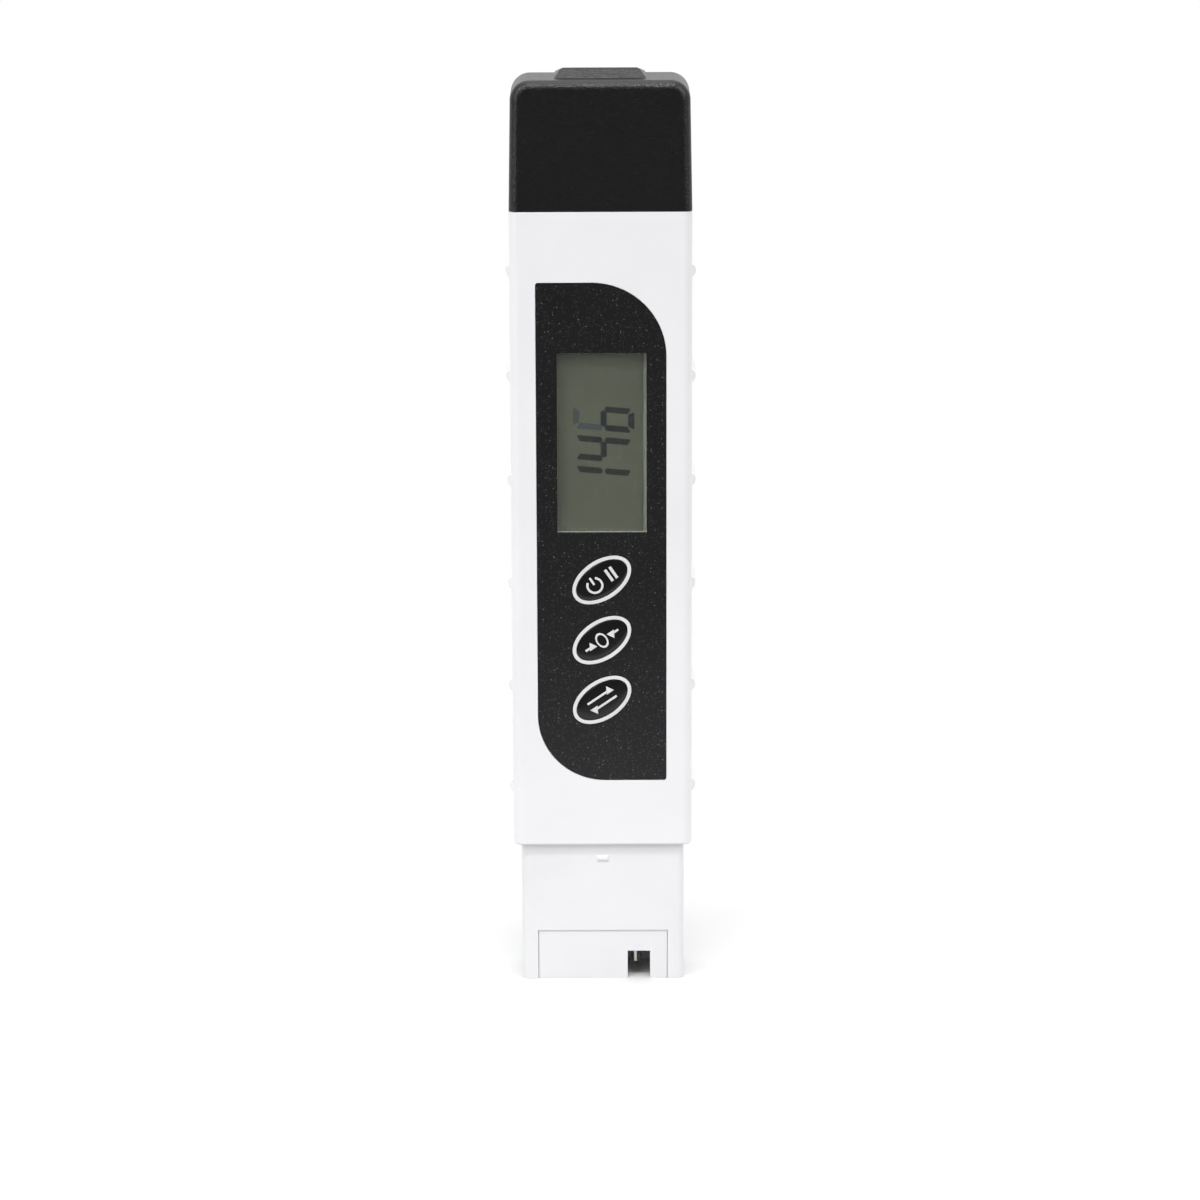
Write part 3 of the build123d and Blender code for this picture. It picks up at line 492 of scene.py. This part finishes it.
green_board = make_board()
black_resin = moulded("black_resin_drop", (0.02, 0.02, 0.02, 1), (0.012, 0.012, 0.012, 1), 0.25, 1.2, 0.02)
chip_epoxy = moulded("black_chip_epoxy", (0.03, 0.03, 0.03, 1), (0.02, 0.02, 0.02, 1), 0.55, 0.12, 0.008)
ceramic = moulded("tan_ceramic", (0.42, 0.3, 0.2, 1), (0.34, 0.24, 0.16, 1), 0.45, 0.15, 0.004)
rubber = moulded("layered_rubber", (0.22, 0.22, 0.24, 1), (0.1, 0.1, 0.11, 1), 0.7, 0.1, 0.01)
potting = moulded("amber_potting_resin", (0.5, 0.42, 0.26, 1), (0.42, 0.34, 0.2, 1), 0.3, 1.5, 0.03)
wire_pvc = moulded("red_wire_covering", (0.5, 0.04, 0.03, 1), (0.42, 0.03, 0.025, 1), 0.4, 0.2, 0.003)
bead = moulded("black_sensor_epoxy", (0.03, 0.03, 0.03, 1), (0.02, 0.02, 0.02, 1), 0.3, 0.6, 0.01)
print("circuit finishes:", 8)

# %% [markdown]
# ## Each CAD piece gets its finish
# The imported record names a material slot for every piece. A small dictionary turns slot names into the
# finishes above, and a loop puts them on. Doing it by slot, and not by piece, means that two pieces
# from the same mould material always match.

# %% Finishes by slot
finishes = {
    "white_plastic": white_abs,
    "label_film": label_film,
    "clear_window": clear_window,
    "key_black": key_abs,
    "switch_black": switch_nylon,
    "stem_white": stem_nylon,
    "polarizer": display_film,
    "display_glass": display_glass,
    "reflector": silver_film,
    "contact_rubber": rubber,
    "frame_white": frame_abs,
    "board_green": green_board,
    "screw_steel": steel,
    "resin_black": black_resin,
    "chip_black": chip_epoxy,
    "can_steel": can_tin,
    "part_ceramic": ceramic,
    "cell_steel": cell_steel,
    "contact_metal": nickel,
    "cover_black": black_abs,
    "probe_white": probe_abs,
    "electrode_metal": probe_metal,
    "potting_resin": potting,
    "wire_insulation": wire_pvc,
    "bead_epoxy": bead,
}
for subpart in frame["record"]["subparts"]:
    piece = frame["nodes"][subpart["node"]]
    for place in piece.material_slots:
        place.material = finishes[subpart["material_slot"]]


# %% [markdown]
# ## Drawing on the face
# Thin things are drawn flat, with X to the right and Y up, as on paper. A helper then thickens the
# drawing, stands it up on the face and makes an object of it. Its place goes into the mesh, so the
# object itself stays at the origin, unturned, as the CAD pieces do.

# %% Helpers that stand a drawing up on the face
def stand_up(drawing, x, level, z, tilt=0.0):
    """Turns a flat drawing by tilt and stands it on the face, with its thickness towards the front."""
    turned = Matrix.Rotation(math.radians(tilt), 4, "Z")
    upright = Matrix.Rotation(math.radians(90), 4, "X")
    move = Matrix.Translation((x, level, z))
    bmesh.ops.transform(drawing, matrix=move @ upright @ turned, verts=drawing.verts)


def thicken(drawing, depth):
    """Pulls every face of a flat drawing out into a thin solid."""
    flat = drawing.faces[:]
    pulled = bmesh.ops.extrude_face_region(drawing, geom=flat, use_keep_orig=True)
    raised = [item for item in pulled["geom"] if isinstance(item, bmesh.types.BMVert)]
    bmesh.ops.translate(drawing, verts=raised, vec=(0, 0, depth))


def finish_piece(name, drawing, body, material, smooth_degrees=35):
    """Makes the drawing an object that rides on a body and has a finish."""
    bmesh.ops.remove_doubles(drawing, verts=drawing.verts, dist=0.0005 * mm)
    bmesh.ops.recalc_face_normals(drawing, faces=drawing.faces)
    mesh = bpy.data.meshes.new(name)
    drawing.to_mesh(mesh)
    drawing.free()
    mesh.shade_smooth()
    mesh.set_sharp_from_angle(angle=math.radians(smooth_degrees))
    mesh.materials.append(material)
    piece = bpy.data.objects.new(name, mesh)
    bpy.context.collection.objects.link(piece)
    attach(piece, body)
    print("made", name, "with", len(mesh.polygons), "faces")
    return piece


# %% Levels and places that come from the frame
key_names = ("power", "clear", "mode")
key_boxes = {name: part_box(f"{name}_key") for name in key_names}
key_places = {}
for name, (low, high) in key_boxes.items():
    key_places[name] = ((low.x + high.x) / 2, (low.z + high.z) / 2)
key_front = key_boxes["power"][0].y
key_rear = key_boxes["power"][1].y
label_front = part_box("overlay_label")[0].y
film_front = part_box("lcd_front_polarizer")[0].y
print("key front at", round(key_front / mm, 3), "mm, label at", round(label_front / mm, 3), "mm")

# %% [markdown]
# ## The key caps
# Each key is an oval cap with a gently domed top. The CAD key is flat on top, to keep it light for the
# motion checks, so a domed cap stands for it. An ellipsoid cut in half would also give a dome, but it
# would be too pointed at the rim. Here one ring of edges is pulled along, ring by ring, while it
# shrinks, which gives the flange, the straight side, the round rim and the shallow dome in one go.

# %% Size of the oval and shape of the dome
key_long = 4.72 * mm
key_short = 2.62 * mm
key_tilt = 34.5
flange_scale = 1.1
flange_depth = 0.5 * mm
crest = key_front + 0.012 * mm
dome_drop = 0.07 * mm
rim_drop = 0.16 * mm
dome_edge = 0.92
dome_steps = 10
rim_shares = (1.0, 0.995, 0.985, 0.97, 0.95, dome_edge)


def dome_level(share):
    """Depth of the cap's top at a share of the way from the middle to the rim."""
    return crest + dome_drop * share**2 + (rim_drop - dome_drop) * share**14


# %% The three caps
def make_cap(name):
    """One cap: an oval ring of edges that is pulled forward and drawn in, and closed at the end."""
    x, z = key_places[name]
    cap = bmesh.new()
    ring = bmesh.ops.create_circle(cap, segments=96, radius=1.0)["verts"]
    bmesh.ops.scale(cap, vec=(key_long, key_short, 1), verts=ring)
    stand_up(cap, x, key_rear, z, key_tilt)
    axis = Vector((x, 0, z))
    flange_front = key_rear - flange_depth
    steps = [(flange_scale, key_rear), (flange_scale, flange_front), (1.0, flange_front)]
    dome_shares = [dome_edge * (1 - k / dome_steps) for k in range(1, dome_steps)]
    steps += [(share, dome_level(share)) for share in (*rim_shares, *dome_shares)]
    edges = cap.edges[:]
    old_share, old_level = 1.0, key_rear
    for number, (share, level) in enumerate(steps):
        if number:
            pulled = bmesh.ops.extrude_edge_only(cap, edges=edges)["geom"]
            edges = [item for item in pulled if isinstance(item, bmesh.types.BMEdge)]
        ring = list({vert for edge in edges for vert in edge.verts})
        factor = share / old_share
        bmesh.ops.scale(cap, vec=(factor, 1, factor), space=Matrix.Translation(-axis), verts=ring)
        bmesh.ops.translate(cap, vec=(0, level - old_level, 0), verts=ring)
        old_share, old_level = share, level
    bmesh.ops.holes_fill(cap, edges=cap.edges, sides=0)
    piece = finish_piece(f"{name}_key_cap", cap, f"{name}_key", key_abs)
    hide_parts(f"{name}_key")


for key_name in key_names:
    make_cap(key_name)

# %% [markdown]
# ## Rings and signs
# A white ring is printed on the label round each key, and each key carries a small white sign.
# Ink is only a few hundredths of a millimetre thick, but as real geometry it stays sharp at any
# distance, and it catches light as a raised print does. The signs are plain ones: the bar in a circle
# for power beside two bars for hold, a zero between two arrows for clearing, and two opposite arrows
# for changing the mode.

# %% Rings round the keys
ink_depth = 0.02 * mm
ring_inner = (4.84 * mm, 2.74 * mm)
ring_outer = (5.46 * mm, 3.37 * mm)


def make_rings():
    rings = bmesh.new()
    for x, z in key_places.values():
        ring = bmesh.new()
        inner = bmesh.ops.create_circle(ring, segments=96, radius=1.0)["verts"]
        bmesh.ops.scale(ring, vec=(*ring_inner, 1), verts=inner)
        pulled = bmesh.ops.extrude_edge_only(ring, edges=ring.edges[:])["geom"]
        outer = [item for item in pulled if isinstance(item, bmesh.types.BMVert)]
        grow = (ring_outer[0] / ring_inner[0], ring_outer[1] / ring_inner[1], 1)
        bmesh.ops.scale(ring, vec=grow, verts=outer)
        thicken(ring, ink_depth)
        stand_up(ring, x, label_front, z, key_tilt)
        carrier = bpy.data.meshes.new("ring")
        ring.to_mesh(carrier)
        ring.free()
        rings.from_mesh(carrier)
        bpy.data.meshes.remove(carrier)
    finish_piece("key_rings", rings, "meter", white_ink)


make_rings()

# %% Strokes that the signs are drawn with
stroke = 0.38 * mm


def draw_arc(drawing, radius, start_degrees, sweep_degrees, squeeze=1.0):
    """A round stroke, or a full ring, narrowed across by squeeze."""
    inner = drawing.verts.new((radius - stroke / 2, 0, 0))
    outer = drawing.verts.new((radius + stroke / 2, 0, 0))
    edge = drawing.edges.new((inner, outer))
    turn = Matrix.Rotation(math.radians(start_degrees), 3, "Z")
    bmesh.ops.rotate(drawing, verts=[inner, outer], cent=(0, 0, 0), matrix=turn)
    before = set(drawing.verts)
    bmesh.ops.spin(
        drawing,
        geom=[inner, outer, edge],
        cent=(0, 0, 0),
        axis=(0, 0, 1),
        angle=math.radians(sweep_degrees),
        steps=36,
        use_merge=sweep_degrees == 360,
    )
    drawn = [vert for vert in drawing.verts if vert not in before] + [inner, outer]
    drawn = [vert for vert in drawn if vert.is_valid]
    bmesh.ops.scale(drawing, vec=(squeeze, 1, 1), verts=drawn)


def draw_bar(drawing, x, y, width, height):
    """A straight stroke, a box seen flat."""
    bar = bmesh.ops.create_grid(drawing, x_segments=1, y_segments=1, size=0.5)["verts"]
    bmesh.ops.scale(drawing, vec=(width, height, 1), verts=bar)
    bmesh.ops.translate(drawing, vec=(x, y, 0), verts=bar)


def draw_head(drawing, x, y, size, turn_degrees):
    """The head of an arrow, a triangle that points to the right before it is turned."""
    head = bmesh.ops.create_circle(drawing, cap_ends=True, segments=3, radius=size)["verts"]
    turn = Matrix.Rotation(math.radians(turn_degrees), 3, "Z")
    bmesh.ops.rotate(drawing, verts=head, cent=(0, 0, 0), matrix=turn)
    bmesh.ops.translate(drawing, vec=(x, y, 0), verts=head)


# %% The signs of the three keys
head_size = 0.85 * mm


def draw_power_and_hold_sign(drawing):
    """A circle with a bar for power, and two bars for holding the reading."""
    draw_arc(drawing, 1.25 * mm, 125, 290)
    draw_bar(drawing, 0, 0.85 * mm, stroke, 1.4 * mm)
    bmesh.ops.translate(drawing, vec=(-1.45 * mm, -0.1 * mm, 0), verts=drawing.verts)
    for x in (1.45 * mm, 2.35 * mm):
        draw_bar(drawing, x, 0, 1.3 * stroke, 2.3 * mm)


def draw_zero_sign(drawing):
    """A zero that two arrows point at."""
    draw_arc(drawing, 1.2 * mm, 0, 360, 0.7)
    for side in (-1, 1):
        draw_bar(drawing, side * 2.8 * mm, 0, 1.0 * mm, stroke)
        draw_head(drawing, side * 1.95 * mm, 0, head_size, 180 if side > 0 else 0)


def draw_swap_sign(drawing):
    """Two opposite arrows, one above the other."""
    for side in (-1, 1):
        draw_bar(drawing, -side * 0.45 * mm, side * 0.75 * mm, 4.0 * mm, stroke)
        draw_head(drawing, side * 1.9 * mm, side * 0.75 * mm, head_size, 0 if side > 0 else 180)


long_edge = 0.8 * mm
ink_sink = 0.4 * ink_depth


def make_sign(name, draw):
    """A sign that follows the dome of its key cap, a little sunk into it so that no gap shows."""
    x, z = key_places[name]
    sign = bmesh.new()
    draw(sign)
    long_edges = [edge for edge in sign.edges if edge.calc_length() > long_edge]
    bmesh.ops.subdivide_edges(sign, edges=long_edges, cuts=4)
    thicken(sign, ink_depth)
    for vert in sign.verts:
        share = math.hypot(vert.co.x / key_long, vert.co.y / key_short)
        vert.co.z += crest - dome_level(share) - ink_sink
    stand_up(sign, x, crest, z, key_tilt)
    finish_piece(f"{name}_key_sign", sign, f"{name}_key", white_ink)


make_sign("power", draw_power_and_hold_sign)
make_sign("clear", draw_zero_sign)
make_sign("mode", draw_swap_sign)

# %% [markdown]
# ## Digits on the display
# The display shows a plain number that reads upwards. Each digit is made of straight segments with
# pointed ends. In the real cell they are part of the liquid crystal between the glasses; here they are
# very thin dark plates on the front film, which look the same through the window.

# %% Segments of a digit
digit_width = 3.1 * mm
digit_height = 9.1 * mm
segment_thickness = 1.0 * mm
segment_gap = 0.15 * mm
tip_lean = 0.3 * mm
tip_steepness = 0.57
digit_slant = 0.09
segment_depth = 0.02 * mm
segments = {
    "top": (0, 1, True),
    "middle": (0, 0, True),
    "bottom": (0, -1, True),
    "upper_left": (-1, 0.5, False),
    "upper_right": (1, 0.5, False),
    "lower_left": (-1, -0.5, False),
    "lower_right": (1, -0.5, False),
}


def draw_segment(drawing, name, shift):
    """One segment: a bar whose ends are cut to a blunt tip, which leans to the digit's outside."""
    across, up, lying = segments[name]
    reach = (digit_width if lying else digit_height / 2) - 2 * segment_gap
    bar = bmesh.new()
    bmesh.ops.create_grid(bar, x_segments=1, y_segments=2, size=0.5)
    for vert in bar.verts:
        end = 1 if vert.co.x > 0 else -1
        at_corner = up != 0 if lying else end * up > 0
        outside = up if lying else -across
        tip = tip_lean * outside if at_corner else 0
        sideways = vert.co.y * segment_thickness if abs(vert.co.y) > 0.1 else tip
        vert.co = (end * (reach / 2 - tip_steepness * abs(sideways - tip)), sideways, 0)
    if not lying:
        bmesh.ops.rotate(bar, verts=bar.verts, matrix=Matrix.Rotation(math.radians(90), 3, "Z"))
    bmesh.ops.translate(bar, vec=(across * digit_width / 2, up * digit_height / 2, 0), verts=bar.verts)
    for vert in bar.verts:
        vert.co.x += shift + digit_slant * vert.co.y
    carrier = bpy.data.meshes.new("segment")
    bar.to_mesh(carrier)
    bar.free()
    drawing.from_mesh(carrier)
    bpy.data.meshes.remove(carrier)


# %% The number on the display
digit_pitch = 5.2 * mm
number_x = 0.4 * mm
number_z = 91.8 * mm
one = ("upper_right", "lower_right")
four = ("upper_left", "middle", "upper_right", "lower_right")
six_dark = ("middle", "bottom", "lower_left", "lower_right")
six_faint = ("top", "upper_left")


def make_segments(name, digits, material):
    drawing = bmesh.new()
    for place, names in digits:
        for segment_name in names:
            draw_segment(drawing, segment_name, place * digit_pitch)
    thicken(drawing, segment_depth)
    stand_up(drawing, number_x, film_front, number_z, 90)
    finish_piece(name, drawing, "meter", material)


make_segments("dark_segments", [(-1, one), (0, four), (1, six_dark)], dark_segment)
make_segments("faint_segments", [(1, six_faint)], faint_segment)

# %% [markdown]
# ## Floor, background and light
# The meter stands on a plain white sheet that has no visible edge: near the meter the floor is lit and
# keeps a soft shadow, and further out it turns into the same white as the background. The room in front
# of the meter is dimmer than the white wall behind it, as in a small photo studio, and that is what
# makes black plastic look black. The sheet sends less light up to the meter than it shows to the camera,
# so that the sleeve's lower end isn't brighter than its top. Three large soft lamps stand above and beside
# the camera, and two narrow ones draw a line of light along the top and the left edge of the black cover.

# %% White floor that keeps the shadow
shadow_core = 0.02
shadow_reach = 0.16
floor_side = 3.0
floor_front = -0.16


def make_floor():
    floor_mesh = bmesh.new()
    bmesh.ops.create_grid(floor_mesh, x_segments=1, y_segments=1, size=floor_side / 2)
    bmesh.ops.translate(floor_mesh, vec=(0, floor_front + floor_side / 2, 0), verts=floor_mesh.verts)
    mesh = bpy.data.meshes.new("floor")
    floor_mesh.to_mesh(mesh)
    floor_mesh.free()
    floor = bpy.data.objects.new("floor", mesh)
    bpy.context.collection.objects.link(floor)
    material, tree, surface = new_material("white_floor")
    surface.inputs["Roughness"].default_value = 0.7
    surface.inputs["Specular IOR Level"].default_value = 0.0
    path = add(tree, "ShaderNodeLightPath")
    sheet = add(tree, "ShaderNodeMix", {"data_type": "RGBA"})
    join(tree, path, "Is Diffuse Ray", sheet, "Factor")
    sheet.inputs[6].default_value = grey(0.74)
    sheet.inputs[7].default_value = grey(0.5)
    tree.links.new(sheet.outputs[2], surface.inputs["Base Color"])
    place = add(tree, "ShaderNodeTexCoord")
    away = add(tree, "ShaderNodeVectorMath", {"operation": "LENGTH"})
    join(tree, place, "Object", away, "Vector")
    reach = {"From Min": shadow_core, "From Max": shadow_reach}
    far = add(tree, "ShaderNodeMapRange", {"interpolation_type": "SMOOTHSTEP"}, reach)
    join(tree, away, "Value", far, "Value")
    seen = maths(tree, "MAXIMUM", (path, "Is Camera Ray"), (path, "Is Transmission Ray"))
    white_share = maths(tree, "MULTIPLY", (far, "Result"), (seen, "Value"))
    white = add(tree, "ShaderNodeEmission", values={"Color": grey(1.0), "Strength": 1.0})
    blend = add(tree, "ShaderNodeMixShader")
    join(tree, white_share, "Value", blend, 0)
    join(tree, surface, "BSDF", blend, 1)
    join(tree, white, "Emission", blend, 2)
    join(tree, blend, "Shader", tree.nodes["Material Output"], "Surface")
    mesh.materials.append(material)


make_floor()

# %% Background: white to the camera, bright above and behind the meter and dimmer in front of it
bright_side = (0, 0.6, 0.8)
dim_level = 0.14


def make_world():
    world = bpy.data.worlds.new("studio")
    bpy.context.scene.world = world
    world.use_nodes = True
    tree = world.node_tree
    tree.nodes.clear()
    direction = add(tree, "ShaderNodeTexCoord")
    towards = add(tree, "ShaderNodeVectorMath", {"operation": "DOT_PRODUCT"})
    join(tree, direction, "Generated", towards, 0)
    towards.inputs[1].default_value = bright_side
    levels = {"From Min": -0.3, "From Max": 0.5, "To Min": dim_level, "To Max": 1.0}
    behind = add(tree, "ShaderNodeMapRange", values=levels)
    join(tree, towards, "Value", behind, "Value")
    path = add(tree, "ShaderNodeLightPath")
    level = add(tree, "ShaderNodeMix", {"data_type": "FLOAT"}, {"B": 1.0})
    join(tree, path, "Is Camera Ray", level, "Factor")
    join(tree, behind, "Result", level, "A")
    back = add(tree, "ShaderNodeBackground", values={"Color": grey(1.0)})
    join(tree, level, "Result", back, "Strength")
    end = add(tree, "ShaderNodeOutputWorld")
    join(tree, back, "Background", end, "Surface")


make_world()

# %% Soft lamps
def soft_lamp(name, place, width, height, power):
    data = bpy.data.lights.new(name, "AREA")
    data.shape = "RECTANGLE"
    data.size = width
    data.size_y = height
    data.energy = power
    lamp = bpy.data.objects.new(name, data)
    lamp.location = place
    aim = Vector((0, 0, 0.1)) - Vector(place)
    lamp.rotation_euler = aim.to_track_quat("-Z", "Y").to_euler()
    lamp.visible_camera = False
    bpy.context.collection.objects.link(lamp)


soft_lamp("lamp_front_left", (-0.9, -1.0, 0.9), 0.8, 0.8, 8.7)
soft_lamp("lamp_front_right", (1.0, -0.9, 0.7), 0.8, 0.8, 6.6)
soft_lamp("lamp_above", (0, 0.1, 1.3), 0.9, 0.9, 3.8)
soft_lamp("lamp_high_front", (0, -0.66, 1.15), 0.5, 0.12, 4.5)
soft_lamp("lamp_low_left", (-0.67, -0.56, -0.03), 0.1, 0.5, 0.9)

# %% [markdown]
# ## Camera
# The photograph was taken from a little above, with a long lens. The numbers below put the label, the
# keys and the corners of the meter at their places in a square picture.

# %% Camera at the photograph's angle
camera_data = bpy.data.cameras.new("camera")
camera_data.lens = 133.5
camera_data.sensor_width = 36
camera = bpy.data.objects.new("camera", camera_data)
bpy.context.collection.objects.link(camera)
camera_place = Vector((-0.3 * mm, -725.9 * mm, 241.2 * mm))
camera_aim = Vector((-0.3 * mm, -7.0 * mm, 66.5 * mm))
camera_roll = math.radians(-0.2)
looking = (camera_aim - camera_place).to_track_quat("-Z", "Y").to_matrix().to_4x4()
camera.matrix_world = Matrix.Translation(camera_place) @ looking @ Matrix.Rotation(camera_roll, 4, "Z")
bpy.context.scene.camera = camera
bpy.context.scene.view_settings.view_transform = "Standard"
print("camera at", [round(value, 4) for value in camera.location])
